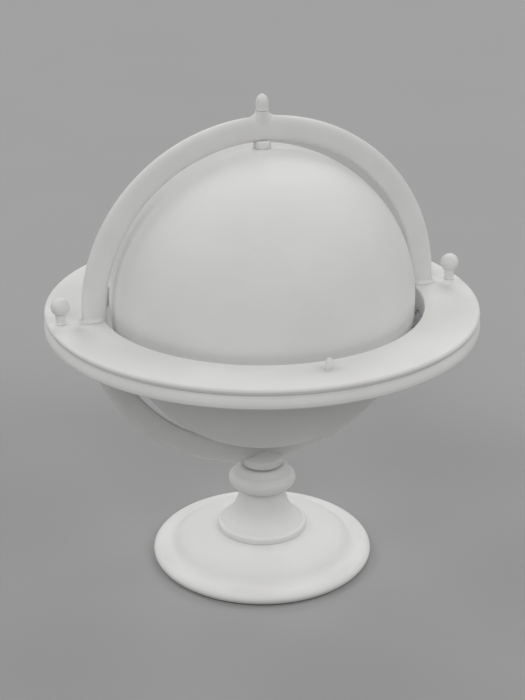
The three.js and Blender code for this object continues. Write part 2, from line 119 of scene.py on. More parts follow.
def smooth(through, steps=24):
    """A smooth curve through a few points, both ends included."""
    last = len(through) - 1
    points = []
    for i in range(steps + 1):
        place = i / steps * last
        at = min(int(place), last - 1)
        t = place - at
        p0, p1, p2, p3 = (through[max(0, min(last, at + k))] for k in (-1, 0, 1, 2))
        point = []
        for a, b, c, d in zip(p0, p1, p2, p3):
            lean_in = (c - a) / 2
            lean_out = (d - b) / 2
            cubic = 2 * b - 2 * c + lean_in + lean_out
            square = 3 * c - 3 * b - 2 * lean_in - lean_out
            point.append(((cubic * t + square) * t + lean_in) * t + b)
        points.append(tuple(point))
    return points


def eased(outline, radius=0.5, steps=4):
    """The closed outline with each real corner rounded, except where it meets the axis."""
    points = []
    count = len(outline)
    for i, corner in enumerate(outline):
        here = Vector(corner)
        back = Vector(outline[i - 1]) - here
        ahead = Vector(outline[(i + 1) % count]) - here
        turn = math.pi - back.angle(ahead, math.pi)
        if turn < math.radians(24) or corner[0] == 0:
            points.append(corner)
            continue
        reach = min(radius * math.tan(turn / 2), back.length * 0.45, ahead.length * 0.45)
        start = here + back.normalized() * reach
        end = here + ahead.normalized() * reach
        for k in range(steps + 1):
            t = k / steps
            point = start * (1 - t) ** 2 + here * 2 * t * (1 - t) + end * t ** 2
            points.append((point.x, point.y))
    return points


# ------------------------------------------------------------------ meshes

def made(name, vertices, faces):
    """A mesh in metres, from vertices in millimetres."""
    mesh = bpy.data.meshes.new(name)
    mesh.from_pydata([Vector(v) * MM for v in vertices], [], faces)
    mesh.validate()
    return mesh


def turned(outline, sides=192, z=0.0):
    """Turns an anticlockwise outline of (radius, height) points about the Z axis."""
    angles = [2 * math.pi * k / sides for k in range(sides)]
    vertices = []
    rings = []
    for radius, height in outline:
        first = len(vertices)
        if radius == 0:
            vertices.append((0, 0, height + z))
            rings.append([first] * sides)
        else:
            vertices += [(radius * math.cos(a), radius * math.sin(a), height + z) for a in angles]
            rings.append(list(range(first, first + sides)))
    faces = []
    for i, lower in enumerate(rings):
        upper = rings[(i + 1) % len(rings)]
        if lower[0] == lower[1] and upper[0] == upper[1]:
            continue
        for k in range(sides):
            following = (k + 1) % sides
            face = [lower[k], lower[following], upper[following], upper[k]]
            faces.append(list(dict.fromkeys(face)))
    return made("turned", vertices, faces)


def offset(outline, distance):
    """The closed anticlockwise outline moved inwards by a small distance."""
    points = []
    count = len(outline)
    for i, corner in enumerate(outline):
        here = Vector(corner)
        arriving = (here - Vector(outline[i - 1])).normalized()
        leaving = (Vector(outline[(i + 1) % count]) - here).normalized()
        inward = Vector((-arriving.y - leaving.y, arriving.x + leaving.x))
        inward.normalize()
        miter = max(0.4, inward.dot(Vector((-leaving.y, leaving.x))))
        points.append(tuple(here + inward * (distance / miter)))
    return points


def stacked_faces(levels, count):
    """Faces through a stack of levels of count vertices each, with a cap at either end."""
    faces = [list(range(count))[::-1]]
    for level in range(levels - 1):
        base = level * count
        for k in range(count):
            following = (k + 1) % count
            faces.append([base + k, base + following, base + count + following, base + count + k])
    faces.append([(levels - 1) * count + k for k in range(count)])
    return faces


def prism(outline, low, high, easing=0.0, steps=3):
    """An outline of (x, y) points drawn out along Z, with both rims rounded by easing."""
    levels = [(0.0, low), (0.0, high)]
    if easing:
        angles = [math.pi / 2 * k / steps for k in range(steps + 1)]
        curve = [(easing * (1 - math.sin(a)), easing * (1 - math.cos(a))) for a in angles]
        levels = [(inset, low + rise) for inset, rise in curve]
        levels += [(inset, high - rise) for inset, rise in reversed(curve)]
    vertices = []
    for inset, height in levels:
        vertices += [(x, y, height) for x, y in (offset(outline, inset) if inset else outline)]
    count = len(outline)
    return made("prism", vertices, stacked_faces(len(levels), count))


def swept(sections):
    """A closed body through a row of sections, each with the same number of points."""
    count = len(sections[0])
    vertices = [point for section in sections for point in section]
    return made("swept", vertices, stacked_faces(len(sections), count))


# Turn a prism so that its outline lies in the XZ plane, or in the YZ plane.
TO_XZ = Matrix(((1, 0, 0, 0), (0, 0, -1, 0), (0, 1, 0, 0), (0, 0, 0, 1)))
TO_YZ = Matrix(((0, 0, 1, 0), (1, 0, 0, 0), (0, 1, 0, 0), (0, 0, 0, 1)))


def laid(mesh, turn=None, x=0.0, y=0.0, z=0.0):
    """The mesh turned and then moved, in millimetres."""
    if turn is not None:
        mesh.transform(turn)
    mesh.transform(Matrix.Translation(Vector((x, y, z)) * MM))
    return mesh


def circle(radius, sides=32):
    return arc(0, 0, radius, 0, 360, sides)[:-1]


def hexagon(radius):
    return circle(radius, 6)


def post(x, y, low, high, radius, sides=32):
    """A plain upright cylinder, used to cut holes."""
    return laid(prism(circle(radius, sides), low, high), x=x, y=y)


def combined(mesh, tools, operation):
    """The mesh less every tool (DIFFERENCE), joined to it (UNION) or within it (INTERSECT)."""
    collection = bpy.context.scene.collection
    whole = bpy.data.objects.new("whole", mesh)
    collection.objects.link(whole)
    helpers = []
    for tool in tools:
        helper = bpy.data.objects.new("tool", tool)
        collection.objects.link(helper)
        helpers.append(helper)
        modifier = whole.modifiers.new("boolean", "BOOLEAN")
        modifier.operation = operation
        modifier.solver = "MANIFOLD"
        modifier.object = helper
    depsgraph = bpy.context.evaluated_depsgraph_get()
    result = bpy.data.meshes.new_from_object(whole.evaluated_get(depsgraph))
    for helper in [whole, *helpers]:
        bpy.data.objects.remove(helper)
    return result


def cut(mesh, *tools):
    return combined(mesh, tools, "DIFFERENCE")


def joined(mesh, *tools):
    return combined(mesh, tools, "UNION")


# ------------------------------------------------------------------ camera, light and floor

def add_camera():
    """Above the left of the front, looking a little down at the middle of the object."""
    azimuth = math.radians(-18.1)
    elevation = math.radians(23.04)
    distance = 1.589
    target = Vector((0.0004, 0, 0.2321))
    back = Vector((
        math.sin(azimuth) * math.cos(elevation),
        -math.cos(azimuth) * math.cos(elevation),
        math.sin(elevation),
    ))
    data = bpy.data.cameras.new("camera")
    data.lens = 80.5
    data.sensor_width = 36
    camera = bpy.data.objects.new("camera", data)
    camera.location = target + back * distance
    camera.rotation_euler = (-back).to_track_quat("-Z", "Y").to_euler()
    bpy.context.scene.collection.objects.link(camera)
    bpy.context.scene.camera = camera


def add_light():
    """Six soft lights all round, like a white tent, with a dim even fill."""
    height = math.radians(39)
    lights = 6
    for k in range(lights):
        heading = 2 * math.pi * k / lights
        data = bpy.data.lights.new(f"tent_{k}", "SUN")
        data.energy = 0.68
        data.angle = math.radians(30)
        light = bpy.data.objects.new(f"tent_{k}", data)
        toward = Vector((
            math.cos(heading) * math.cos(height),
            math.sin(heading) * math.cos(height),
            math.sin(height),
        ))
        light.rotation_euler = toward.to_track_quat("Z", "Y").to_euler()
        bpy.context.scene.collection.objects.link(light)
    world = bpy.data.worlds.new("studio")
    world.use_nodes = True
    background = world.node_tree.nodes["Background"]
    background.inputs["Color"].default_value = (1, 1, 1, 1)
    background.inputs["Strength"].default_value = 0.1
    bpy.context.scene.world = world
    bpy.context.scene.view_settings.view_transform = "Standard"


def add_floor():
    half = 20000.0
    square = [(-half, -half), (half, -half), (half, half), (-half, half)]
    floor = bpy.data.objects.new("floor", prism(square, -10, 0))
    bpy.context.scene.collection.objects.link(floor)
    floor.data.materials.append(floor_paper())


# ------------------------------------------------------------------ materials

class Recipe:
    """One material's nodes. Every call adds a node and gives back its output socket."""

    def __init__(self, name, colour, roughness, metallic=0.0):
        self.material = bpy.data.materials.new(name)
        self.material.use_nodes = True
        self.material.diffuse_color = (*colour, 1)
        self.tree = self.material.node_tree
        self.shader = self.tree.nodes["Principled BSDF"]
        self.shader.inputs["Base Color"].default_value = (*colour, 1)
        self.shader.inputs["Roughness"].default_value = roughness
        self.shader.inputs["Metallic"].default_value = metallic
        self.place = self.add("TexCoord", {}, {}).outputs["Object"]

    def add(self, kind, settings, inputs):
        node = self.tree.nodes.new("ShaderNode" + kind)
        for key, value in settings.items():
            setattr(node, key, value)
        for key, value in inputs.items():
            self.feed(node.inputs[key], value)
        return node

    def feed(self, socket, value):
        if isinstance(value, bpy.types.NodeSocket):
            self.tree.links.new(value, socket)
        else:
            socket.default_value = value

    def maths(self, operation, *values, clamp=False):
        inputs = dict(enumerate(values))
        settings = {"operation": operation, "use_clamp": clamp}
        return self.add("Math", settings, inputs).outputs[0]

    def apart(self, vector=None):
        """The three parts of a place."""
        node = self.add("SeparateXYZ", {}, {0: vector or self.place})
        return list(node.outputs)

    def vector(self, x, y, z):
        return self.add("CombineXYZ", {}, {0: x, 1: y, 2: z}).outputs[0]

    def stretched(self, vector, scale):
        settings = {"operation": "MULTIPLY"}
        return self.add("VectorMath", settings, {0: vector, 1: scale}).outputs[0]

    def noise(self, vector, scale, detail=3.0, roughness=0.55):
        inputs = {"Vector": vector, "Scale": scale, "Detail": detail, "Roughness": roughness}
        return self.add("TexNoise", {}, inputs).outputs[0]

    def ranged(self, value, low, high, to_low, to_high):
        settings = {"clamp": True, "interpolation_type": "SMOOTHSTEP"}
        inputs = {0: value, 1: low, 2: high, 3: to_low, 4: to_high}
        return self.add("MapRange", settings, inputs).outputs[0]

    def mixed(self, factor, first, second):
        """Blends two colours, each a socket or three numbers."""
        whole = [c if isinstance(c, bpy.types.NodeSocket) else (*c, 1) for c in (first, second)]
        settings = {"data_type": "RGBA"}
        return self.add("Mix", settings, {0: factor, 6: whole[0], 7: whole[1]}).outputs[2]

    def around(self):
        """Radius from the Z axis, so that a pattern can follow a turned surface."""
        x, y, _ = self.apart()
        squares = self.maths("ADD", self.maths("MULTIPLY", x, x), self.maths("MULTIPLY", y, y))
        return self.maths("SQRT", squares)

    def crevices(self, distance):
        """1 in the open, towards 0 deep in a corner."""
        settings = {"samples": 4, "only_local": False}
        return self.add("AmbientOcclusion", settings, {"Distance": distance}).outputs["AO"]

    def edges(self):
        """1 along worn outer edges, 0 elsewhere."""
        pointiness = self.add("NewGeometry", {}, {}).outputs["Pointiness"]
        return self.ranged(pointiness, 0.53, 0.62, 0.0, 1.0)

    def colour(self, value):
        self.feed(self.shader.inputs["Base Color"], value)

    def roughness(self, value):
        self.feed(self.shader.inputs["Roughness"], value)

    def relief(self, *layers):
        """Stacks height layers of (height, depth in mm), finest first."""
        normal = None
        for height, depth in layers:
            inputs = {"Height": height, "Strength": 1.0, "Distance": depth * MM}
            if normal is not None:
                inputs["Normal"] = normal
            normal = self.add("Bump", {}, inputs).outputs[0]
        self.feed(self.shader.inputs["Normal"], normal)


PAINT = (0.80, 0.80, 0.79)
PAINT_THIN = (0.74, 0.73, 0.71)
PAINT_RUBBED = (0.86, 0.86, 0.85)
# Grey the paint turns in corners and between parts: dust, and painted shade.
DUST_AND_SHADE = (0.60, 0.59, 0.57)


def finish_paint(recipe, tone, base_roughness):
    """Paint that varies a little, is darkened in corners by dust and painted shade, and is rubbed smooth
    on edges.
    """
    paint = recipe.mixed(tone, PAINT_THIN, PAINT)
    edges = recipe.edges()
    rubbed = recipe.mixed(recipe.maths("MULTIPLY", edges, 0.5), paint, PAINT_RUBBED)
    # Ambient occlusion within 12 mm darkens the paint: dust, and painted shade in corners and between
    # parts.
    open_sky = recipe.crevices(12 * MM)
    dust_and_shade = recipe.ranged(open_sky, 0.1, 0.9, 0.5, 0.0)
    recipe.colour(recipe.mixed(dust_and_shade, rubbed, DUST_AND_SHADE))
    patches = recipe.noise(recipe.place, 34.0, 3.0)
    matt = recipe.ranged(patches, 0.3, 0.7, base_roughness - 0.06, base_roughness + 0.08)
    recipe.roughness(recipe.maths("SUBTRACT", matt, recipe.maths("MULTIPLY", edges, 0.12)))


def turned_paint():
    """Matt paint on lathe-turned wood: faint tool rings and grain show through it."""
    recipe = Recipe("paint_on_turned_wood", PAINT, 0.62)
    radius = recipe.around()
    _, _, height = recipe.apart()
    rings = recipe.noise(recipe.vector(radius, 0.0, height), 420.0, 2.0)
    upright = recipe.stretched(recipe.place, (1, 1, 0.09))
    grain = recipe.noise(upright, 260.0, 4.0, 0.6)
    fine = recipe.noise(recipe.place, 1900.0, 2.0)
    tone = recipe.ranged(recipe.noise(recipe.place, 18.0, 4.0), 0.3, 0.65, 0.55, 1.0)
    finish_paint(recipe, tone, 0.62)
    recipe.relief((fine, 0.02), (grain, 0.035), (rings, 0.05))
    return recipe.material


def segmented_paint():
    """Matt paint on a ring glued up from eight curved lengths of wood, each with its own grain."""
    recipe = Recipe("paint_on_ring_wood", PAINT, 0.62)
    x, y, z = recipe.apart()
    lengths = 8
    turn = recipe.maths("ARCTAN2", y, x)
    place = recipe.maths("ADD", recipe.maths("MULTIPLY", turn, lengths / (2 * math.pi)), lengths + 0.5)
    number = recipe.maths("FLOOR", place)
    middle = recipe.maths("MULTIPLY", recipe.maths("SUBTRACT", number, lengths), 2 * math.pi / lengths)
    settings = {"rotation_type": "Z_AXIS"}
    back = recipe.maths("MULTIPLY", middle, -1.0)
    straight = recipe.add("VectorRotate", settings, {"Vector": recipe.place, "Angle": back})
    own = recipe.vector(0.0, 0.0, recipe.maths("MULTIPLY", number, 0.37))
    moved = recipe.add("VectorMath", {"operation": "ADD"}, {0: straight.outputs[0], 1: own})
    grain_place = recipe.stretched(moved.outputs[0], (1, 0.07, 1))
    grain = recipe.noise(grain_place, 300.0, 4.0, 0.6)
    within = recipe.maths("SUBTRACT", place, number)
    near = recipe.maths("SUBTRACT", 0.5, recipe.maths("ABSOLUTE", recipe.maths("SUBTRACT", within, 0.5)))
    joint_gap = recipe.maths("MULTIPLY", near, recipe.around())
    joint = recipe.ranged(joint_gap, 0.0, 0.0004, 0.0, 1.0)
    fine = recipe.noise(recipe.place, 1900.0, 2.0)
    sanding = recipe.noise(recipe.vector(recipe.around(), 0.0, z), 300.0, 2.0)
    tone = recipe.ranged(recipe.noise(recipe.place, 15.0, 4.0), 0.3, 0.65, 0.55, 1.0)
    finish_paint(recipe, tone, 0.62)
    recipe.relief((fine, 0.02), (grain, 0.04), (sanding, 0.03), (joint, 0.05))
    return recipe.material


def metal_paint():
    """Sprayed paint on metal, with orange peel and a slight sheen."""
    recipe = Recipe("paint_on_metal", PAINT, 0.52)
    peel = recipe.noise(recipe.place, 520.0, 1.0, 0.4)
    fine = recipe.noise(recipe.place, 2200.0, 2.0)
    tone = recipe.ranged(recipe.noise(recipe.place, 26.0, 3.0), 0.3, 0.65, 0.6, 1.0)
    finish_paint(recipe, tone, 0.52)
    recipe.relief((fine, 0.012), (peel, 0.035))
    return recipe.material


def globe_skin():
    """Varnished paper on the ball: twelve gores and a cap at each pole, all left plain."""
    recipe = Recipe("varnished_paper", PAINT, 0.55)
    x, y, z = recipe.apart()
    gores = 12
    turn = recipe.maths("MULTIPLY", recipe.maths("ARCTAN2", y, x), gores / (2 * math.pi))
    within = recipe.maths("FRACT", recipe.maths("ADD", turn, gores + 0.5))
    near = recipe.maths("ABSOLUTE", recipe.maths("SUBTRACT", within, 0.5))
    girth = recipe.maths("MULTIPLY", recipe.around(), 2 * math.pi / gores)
    across = recipe.maths("MULTIPLY", near, girth)
    height = recipe.maths("ABSOLUTE", recipe.maths("SUBTRACT", z, CENTRE_Z * MM))
    cap_height = BALL_RADIUS * math.sin(math.radians(76)) * MM
    cap = recipe.maths("ABSOLUTE", recipe.maths("SUBTRACT", height, cap_height))
    inside_cap = recipe.maths("GREATER_THAN", height, cap_height)
    gore_seam = recipe.maths("ADD", across, inside_cap)
    seam = recipe.ranged(recipe.maths("MINIMUM", gore_seam, cap), 0.0, 0.0006, 0.0, 1.0)
    fibre = recipe.noise(recipe.place, 700.0, 5.0, 0.65)
    cockle = recipe.noise(recipe.place, 45.0, 2.0)
    mottle = recipe.ranged(recipe.noise(recipe.place, 22.0, 5.0, 0.6), 0.3, 0.7, 0.5, 1.0)
    paper = recipe.mixed(mottle, (0.765, 0.76, 0.745), PAINT)
    speck = recipe.ranged(recipe.noise(recipe.place, 320.0, 2.0), 0.62, 0.75, 0.0, 0.10)
    aged = recipe.mixed(speck, paper, (0.62, 0.60, 0.55))
    recipe.colour(recipe.mixed(seam, (0.785, 0.78, 0.77), aged))
    recipe.roughness(recipe.ranged(recipe.noise(recipe.place, 30.0, 3.0), 0.3, 0.7, 0.50, 0.64))
    recipe.relief((fibre, 0.012), (cockle, 0.05), (seam, 0.008))
    return recipe.material


def bare_wood():
    recipe = Recipe("bare_wood", (0.52, 0.36, 0.21), 0.75)
    stretched = recipe.stretched(recipe.place, (1, 1, 0.08))
    grain = recipe.noise(stretched, 320.0, 5.0, 0.6)
    rings = recipe.noise(recipe.stretched(recipe.place, (1, 1, 0.15)), 90.0, 2.0)
    bands = recipe.ranged(rings, 0.35, 0.65, 0.0, 1.0)
    ground = recipe.mixed(bands, (0.55, 0.39, 0.23), (0.44, 0.29, 0.16))
    recipe.colour(recipe.mixed(recipe.ranged(grain, 0.4, 0.7, 0.0, 0.5), ground, (0.33, 0.21, 0.11)))
    recipe.roughness(recipe.ranged(grain, 0.3, 0.7, 0.68, 0.85))
    recipe.relief((grain, 0.08))
    return recipe.material


def felt():
    recipe = Recipe("wool_felt", (0.16, 0.17, 0.15), 0.95)
    recipe.shader.inputs["Sheen Weight"].default_value = 0.35
    recipe.shader.inputs["Sheen Roughness"].default_value = 0.5
    fibres = recipe.noise(recipe.place, 1400.0, 6.0, 0.75)
    tufts = recipe.noise(recipe.place, 260.0, 3.0)
    recipe.colour(recipe.mixed(fibres, (0.11, 0.12, 0.10), (0.23, 0.24, 0.21)))
    recipe.roughness(recipe.ranged(tufts, 0.3, 0.7, 0.88, 1.0))
    recipe.relief((fibres, 0.25), (tufts, 0.3))
    return recipe.material


def bare_metal(name, clean, dull, roughness, lathe_marks):
    """Metal with fine tool marks, dull patches, and a colour that darkens in its corners."""
    recipe = Recipe(name, clean, roughness, 1.0)
    patches = recipe.ranged(recipe.noise(recipe.place, 120.0, 4.0), 0.35, 0.65, 0.0, 1.0)
    # Ambient occlusion within 2 mm darkens the colour in corners and between parts.
    open_sky = recipe.crevices(2 * MM)
    darker_in_corners = recipe.ranged(open_sky, 0.1, 0.7, 0.6, 0.0)
    body = recipe.mixed(patches, clean, dull)
    recipe.colour(recipe.mixed(darker_in_corners, body, tuple(0.3 * part for part in dull)))
    recipe.roughness(recipe.ranged(patches, 0.0, 1.0, roughness - 0.05, roughness + 0.12))
    marks = recipe.noise(recipe.stretched(recipe.place, (1, 1, 6)), lathe_marks, 2.0)
    recipe.relief((marks, 0.012))
    return recipe.material


def floor_paper():
    """A plain studio sheet, darker than the object."""
    recipe = Recipe("studio_paper", (0.38, 0.38, 0.38), 0.9)
    recipe.shader.inputs["Specular IOR Level"].default_value = 0.2
    mottle = recipe.noise(recipe.place, 3.0, 3.0)
    recipe.colour(recipe.mixed(mottle, (0.37, 0.37, 0.37), (0.39, 0.39, 0.39)))
    return recipe.material


add_camera()
add_light()
add_floor()

MATERIALS = {
    "painted_wood": turned_paint(),
    "ring_wood": segmented_paint(),
    "painted_metal": metal_paint(),
    "globe_skin": globe_skin(),
    "bare_wood": bare_wood(),
    "felt": felt(),
    "brass": bare_metal("brass", (0.80, 0.61, 0.30), (0.62, 0.45, 0.20), 0.32, 700.0),
    "steel": bare_metal("zinc_plated_steel", (0.62, 0.63, 0.64), (0.48, 0.49, 0.50), 0.34, 800.0),
    "iron": bare_metal("cast_iron", (0.20, 0.20, 0.21), (0.13, 0.12, 0.12), 0.62, 160.0),
}


def finished(node, mesh, body, slot, material=None, sharp=34):
    """Shows the mesh in place of a CAD node, on that node's body."""
    mesh.shade_smooth()
    mesh.set_sharp_from_angle(angle=math.radians(sharp))
    mesh.materials.clear()
    mesh.materials.append(MATERIALS[material or slot])
    piece = bpy.data.objects.new("fine_" + node, mesh)
    bpy.context.scene.collection.objects.link(piece)
    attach(piece, body)
    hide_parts(node)
    return piece


# ------------------------------------------------------------------ pedestal

def add_felt_pad():
    radius = reach_of("felt_pad")
    top = top_of("felt_pad")
    outline = eased([(0, 0), (radius, 0), (radius, top), (0, top)], 0.7)
    finished("felt_pad", turned(outline), "stand", "felt")


def add_base():
    """A low dome that drops steeply to a fat round rim."""
    underside = bottom_of("base")
    top = top_of("base")
    widest = reach_of("base")
    crest = underside + 10.2
    recess, ceiling = 62, 14.5
    flange = reach_of("column")
    socket = 20 + GAP
    socket_floor = top - 6
    rim = smooth([
        (widest - 1.9, underside), (widest - 0.6, underside + 2), (widest, underside + 4.4),
        (widest - 0.8, underside + 6.9), (widest - 3.2, crest - 1.1), (widest - 6.6, crest),
        (widest - 11, crest - 0.2), (99.5, crest - 0.2), (95.5, crest + 1.2), (92, crest + 4.2),
        (88.4, 20.3), (83, 23.8), (74, 27.2), (61, 30.2), (48.5, 31.5),
    ], 120)
    outline = [
        (ROD_HOLE, ceiling),
        (recess, ceiling),
        (recess, underside),
        *rim,
        (flange, top),
        (socket, top),
        (socket, socket_floor),
        (ROD_HOLE, socket_floor),
    ]
    finished("base", turned(eased(outline, 0.6), 256), "stand", "painted_wood")


def add_column():
    """A broad trumpet-shaped stem on a round flange."""
    spigot = 20
    flange = reach_of("column")
    foot = top_of("base") + GAP
    top = top_of("column")
    outline = [
        (ROD_HOLE, bottom_of("column")),
        (spigot, bottom_of("column")),
        (spigot, foot),
        (flange, foot),
        *arc(flange - 2.6, foot + 4.1, 2.6, 0, 84, 12),
        *smooth([
            (43.6, foot + 7), (40.4, foot + 10), (35.2, foot + 14.8), (30.4, foot + 21.2),
            (27, foot + 29), (25, foot + 37), (24, top),
        ], 60),
        (ROD_HOLE, top),
    ]
    finished("column", turned(eased(outline, 0.5)), "stand", "painted_wood")


def add_knop():
    """The fat collar: a rolled lower lip, and a shoulder that steps in towards the head."""
    bottom = bottom_of("knop")
    top = top_of("knop")
    widest = reach_of("knop")
    outline = [
        (ROD_HOLE, bottom),
        (27, bottom),
        *smooth([
            (28.8, bottom + 0.5), (31.2, bottom + 1.9), (33.8, bottom + 4.6), (widest, bottom + 8.6),
            (34.2, bottom + 12), (31.4, bottom + 14.6), (29.4, bottom + 16.8), (28, bottom + 19.6),
            (25.6, top - 1.6), (22.5, top),
        ], 72),
        (ROD_HOLE, top),
    ]
    finished("knop", turned(eased(outline, 0.5)), "stand", "painted_wood")


def add_head():
    """The block under the ring. Its top sweeps up to the ring, which sits in a groove."""
    bottom = bottom_of("head")
    top = top_of("head")
    widest = reach_of("head")
    beside_ring = RING_HALF + 1.4
    lip = 2.4
    lip_top = 113.6
    outline = [
        (ROD_HOLE, bottom),
        (18, bottom),
        *smooth([
            (18.4, bottom + 0.5), (20.2, bottom + 1.6), (21.6, bottom + 3.4), (widest, bottom + 6),
        ], 20),
        *arc(widest - lip, lip_top - lip, lip, 0, 66, 10),
        *smooth([(17, lip_top + 0.5), (12.5, lip_top + 2), (9, top - 1.8), (beside_ring, top)], 24),
        (ROD_HOLE, top),
    ]
    finished("head", cut(turned(eased(outline, 0.5)), ring_groove(-90)), "stand", "painted_wood")


# ------------------------------------------------------------------ meridian ring

def ring_section(steps=14):
    """The ring's oval section, as points of (radius, y), crowned on its two broad faces."""
    power = 2 / RING_FULLNESS
    points = []
    for k in range(4 * steps):
        angle = 2 * math.pi * (k + 0.5) / (4 * steps)
        across, along = math.cos(angle), math.sin(angle)
        u = math.copysign(abs(across) ** power, across)
        v = math.copysign(abs(along) ** power, along)
        points.append((RING_MIDDLE + RING_HALF_WIDTH * u, RING_HALF * v))
    return points


def place_on_ring(radius, turn, y, side):
    return side * radius * math.cos(turn), y, CENTRE_Z + radius * math.sin(turn)


def ring_groove(middle_angle):
    """A short length of the ring, a shade bigger, as a cutter that leaves its seat."""
    spare = 0.15
    reach = 16
    wider = 1 + 2 * spare / (RING_OUTER - RING_INNER)
    thicker = 1 + spare / RING_HALF
    section = [
        (RING_MIDDLE + (radius - RING_MIDDLE) * wider, y * thicker) for radius, y in ring_section()
    ]
    sections = []
    for angle in np.radians(np.linspace(middle_angle - reach, middle_angle + reach, 25)):
        sections.append([place_on_ring(radius, angle, y, 1) for radius, y in section])
    return swept(sections)


def foot_flare(height):
    """How far the foot spreads at a height above the horizon ring."""
    reach = 4.0
    if not 0 <= height < reach:
        return 0.0
    return reach - math.sqrt(reach ** 2 - (reach - height) ** 2)


def leg_section(level, flare, side):
    """A level section of the arch near its foot, spread by the flare where it has a floor."""
    points = []
    for radius, y in ring_section():
        lean = (radius - RING_MIDDLE) / RING_HALF_WIDTH ** 2
        normal = Vector((lean, y / RING_HALF ** 2)).normalized()
        floor = max(0.0, min(1.0, (radius - HORIZON_INNER - 1) / 4))
        radius += normal.x * flare * floor
        y += normal.y * flare * floor
        turn = math.asin((level - CENTRE_Z) / radius)
        points.append(place_on_ring(radius, turn, y, side))
    return points


def radial_section(angle, blend, side):
    """A section of the arch above its foot, turned from level (0) to radial (1)."""
    level = CENTRE_Z + RING_MIDDLE * math.sin(angle)
    points = []
    for radius, y in ring_section():
        level_turn = math.asin((level - CENTRE_Z) / radius) if blend < 1 else angle
        turn = level_turn + (angle - level_turn) * blend
        points.append(place_on_ring(radius, turn, y, side))
    return points


def leg(side):
    """Sections of the arch from its splice, through the horizon ring, to above its foot."""
    floor = HORIZON_TOP + GAP
    sections = [leg_section(level, 0, side) for level in np.linspace(SPLICE_TOP, floor, 8)]
    for height in (0, 0.15, 0.4, 0.8, 1.3, 1.9, 2.6, 3.3, 4.0):
        sections.append(leg_section(floor + height, foot_flare(height), side))
    return sections


def gentle(t):
    """Runs from 0 to 1 with a soft start and end, and stays at 1."""
    t = min(1.0, t)
    return t * t * (3 - 2 * t)


def half_arch(side):
    """Sections from the foot to just short of the crown."""
    start = math.asin((HORIZON_TOP + GAP + 6 - CENTRE_Z) / RING_MIDDLE)
    end = math.pi / 2
    steps = 64
    sections = []
    for k in range(steps):
        t = k / steps
        sections.append(radial_section(start + (end - start) * t, gentle(t / 0.25), side))
    return sections


def crown_saddle():
    """The round seat of the finial, which runs down in hollow curves onto the ring."""
    ring_top = CENTRE_Z + RING_OUTER
    reach_x = 15.0
    drop = 9.0
    around, down = 96, 14
    levels = [[] for _ in range(down + 1)]
    for k in range(around):
        angle = 2 * math.pi * k / around
        c, s = math.cos(angle), math.sin(angle)
        depth = drop * abs(s) ** 1.3
        end_z = ring_top - 0.5 - depth
        u = (end_z - CENTRE_Z - RING_MIDDLE) / RING_HALF_WIDTH
        thickness = RING_HALF * (1 - min(1.0, abs(u)) ** RING_FULLNESS) ** (1 / RING_FULLNESS)
        start = Vector((BOSS_HALF * c, BOSS_HALF * s, BOSS_TOP - 0.15))
        middle = Vector(((BOSS_HALF + 0.3) * c, (RING_HALF + 0.5) * s, BOSS_TOP - 5.4 + 0.8 * c * c))
        end = Vector((reach_x * c, 0.96 * thickness * s, end_z))
        for i in range(down + 1):
            t = i / down
            point = start * (1 - t) ** 2 + middle * 2 * t * (1 - t) + end * t ** 2
            levels[i].append(tuple(point))
    rim = [(x * 0.985, y * 0.985, BOSS_TOP) for x, y, _ in levels[0]]
    sunk = [(x * 0.8, y * 0.5, z - 3.0) for x, y, z in levels[-1]]
    return swept([rim, *levels, sunk][::-1])


def cross_hole(side, height):
    """A hole along Y through the middle of the ring's width."""
    x = side * math.sqrt(RING_MIDDLE ** 2 - (CENTRE_Z - height) ** 2)
    return laid(prism(circle(ROD_HOLE), -20, 20), TO_XZ, x=x, z=height)


def add_arch():
    left = leg(-1) + half_arch(-1)
    right = leg(1) + half_arch(1)
    crown = radial_section(math.pi / 2, 1.0, 1)
    ring = swept([*right, crown, *left[::-1]])
    pivot_hole = post(0, 0, CENTRE_Z + RING_INNER - 5, BOSS_TOP + 1, ROD_HOLE)
    holes = [cross_hole(side, SCREW_HEIGHTS["upper"]) for side in SIDES.values()]
    whole = cut(joined(ring, crown_saddle()), pivot_hole, *holes)
    finished("arch", whole, "stand", "painted_metal", sharp=50)


def add_cradle():
    """The lower part of the ring, with level cut ends under the arch's."""
    start = math.asin((SPLICE_BOTTOM - CENTRE_Z) / RING_MIDDLE)
    steps = 72
    halves = {1: [], -1: []}
    for side in halves:
        for k in range(steps):
            t = k / steps
            angle = start + (-math.pi / 2 - start) * t
            halves[side].append(radial_section(angle, gentle(t / 0.2), side))
    bottom = radial_section(-math.pi / 2, 1.0, 1)
    ring = swept([*halves[-1], bottom, *halves[1][::-1]])
    tie_hole = post(0, 0, CENTRE_Z - RING_OUTER - 1, top_of("tie_rod") + GAP, ROD_HOLE)
    pivot_bottom = bottom_of("bottom_pivot") - GAP
    pivot_hole = post(0, 0, pivot_bottom, CENTRE_Z - RING_INNER + 5, ROD_HOLE)
    holes = [cross_hole(side, SCREW_HEIGHTS["lower"]) for side in SIDES.values()]
    finished("cradle", cut(ring, tie_hole, pivot_hole, *holes), "stand", "painted_metal", sharp=50)


# ------------------------------------------------------------------ horizon ring

def meridian_notch(side, top):
    """Cuts the slot for the meridian ring, with its upper rims eased."""
    half = RING_HALF + GAP
    easing = 0.5
    profile = [
        (half, MOULDING_BOTTOM - 1),
        *arc(half + easing, top - easing, easing, 180, 90, 4),
        (half + easing, top + 1),
    ]
    outline = [*profile, *[(-y, z) for y, z in reversed(profile)]]
    low, high = sorted((side * (HORIZON_INNER - 5), side * (RING_OUTER + GAP)))
    return laid(prism(outline, low, high), TO_YZ)


def side_cuts(top):
    cuts = []
    for side in SIDES.values():
        cuts.append(meridian_notch(side, top))
        cuts.append(post(side * KNOB_AT, 0, MOULDING_BOTTOM - 1, top + 1, CLAMP_HOLE))
    return cuts


